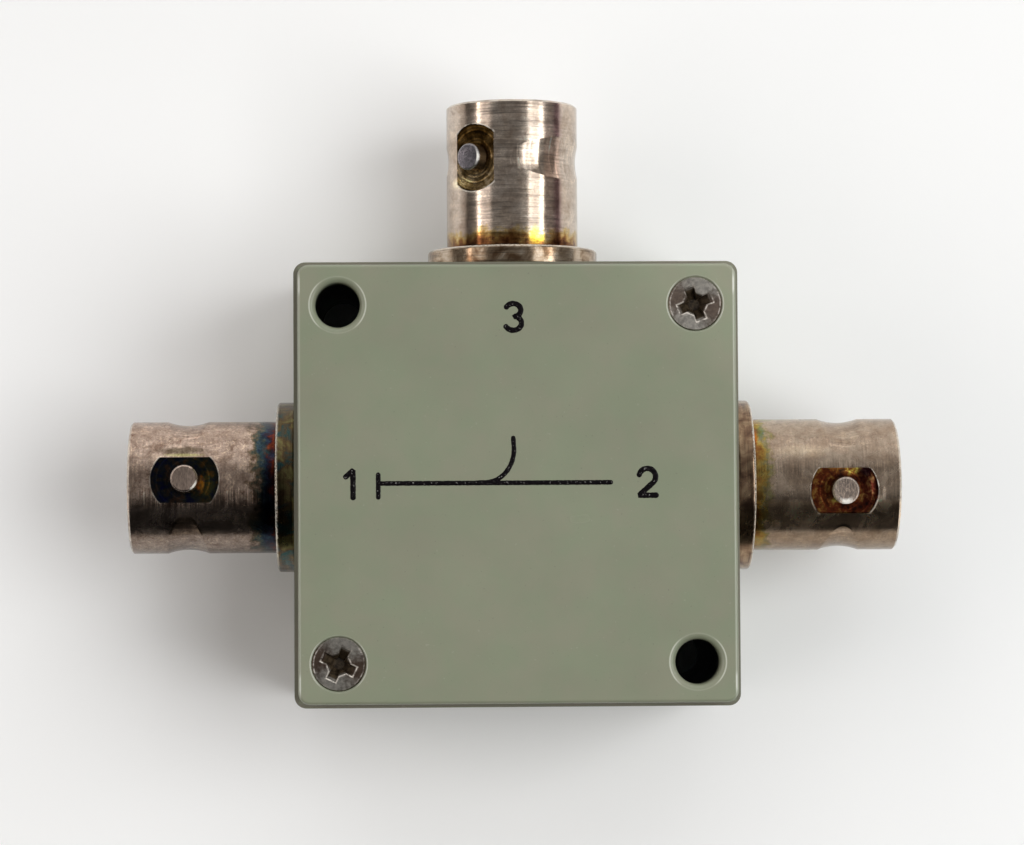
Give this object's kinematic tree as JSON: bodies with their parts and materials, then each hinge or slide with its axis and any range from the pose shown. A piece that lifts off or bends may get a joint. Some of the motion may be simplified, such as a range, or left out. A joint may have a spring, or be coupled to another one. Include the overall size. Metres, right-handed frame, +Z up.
{
  "type": "directional coupler",
  "caption": "Small square painted box with a screwed lid and coaxial bayonet jacks on its sides; sends part of the signal on the main line to a side port.",
  "frame": {"origin": "centre of the box's flat base", "axes": "+Z up through the lid, +X towards the output jack, +Y towards the tap jack; the input jack is at -X"},
  "size_m": [0.056, 0.0439, 0.0191],
  "materials": {
    "body_paint": "semi-gloss grey-green enamel over aluminium",
    "lid_paint": "semi-gloss grey-green enamel over aluminium, slightly mottled",
    "in_shell_plate": "tarnished silver plate over brass, dark brown with blue and red tints by the flange",
    "out_shell_plate": "tarnished silver plate over brass, pinkish brown with yellow tints by the flange",
    "tap_shell_plate": "worn silver plate over brass, warm grey with a golden band by the flange",
    "pin_plate": "worn bright silver plate over brass",
    "insulator_plastic": "white waxy fluoroplastic",
    "contact_gold": "thin gold plate over spring bronze",
    "screw_steel": "plain steel, dull, dark in the recess",
    "washer_steel": "plain spring steel",
    "nut_plate": "plated brass",
    "board_laminate": "green coated glass laminate",
    "trace_copper": "bare copper",
    "board_screw_steel": "plain steel",
    "ferrite": "dark grey sintered ferrite",
    "enamelled_wire": "copper wire with red-brown enamel",
    "tinned_wire": "tinned copper",
    "resistor_coat": "tan lacquer"
  },
  "bodies": {
    "root": {"housing": "body_paint", "lid": "lid_paint", "lid_screw_right": "screw_steel", "lid_screw_left": "screw_steel", "circuit_board": "board_laminate", "board_traces": "trace_copper", "board_screws": "board_screw_steel", "line_core": "ferrite", "tap_core": "ferrite", "line_winding": "enamelled_wire", "tap_winding": "enamelled_wire", "through_wire": "tinned_wire", "coupled_wire": "tinned_wire", "resistor_body": "resistor_coat", "resistor_leads": "tinned_wire", "in_shell": "in_shell_plate", "in_bayonet_pins": "pin_plate", "in_front_insulator": "insulator_plastic", "in_rear_insulator": "insulator_plastic", "in_contact": "contact_gold", "in_washer": "washer_steel", "in_nut": "nut_plate", "out_shell": "out_shell_plate", "out_bayonet_pins": "pin_plate", "out_front_insulator": "insulator_plastic", "out_rear_insulator": "insulator_plastic", "out_contact": "contact_gold", "out_washer": "washer_steel", "out_nut": "nut_plate", "tap_shell": "tap_shell_plate", "tap_bayonet_pins": "pin_plate", "tap_front_insulator": "insulator_plastic", "tap_rear_insulator": "insulator_plastic", "tap_contact": "contact_gold", "tap_washer": "washer_steel", "tap_nut": "nut_plate"}
  },
  "joints": []
}
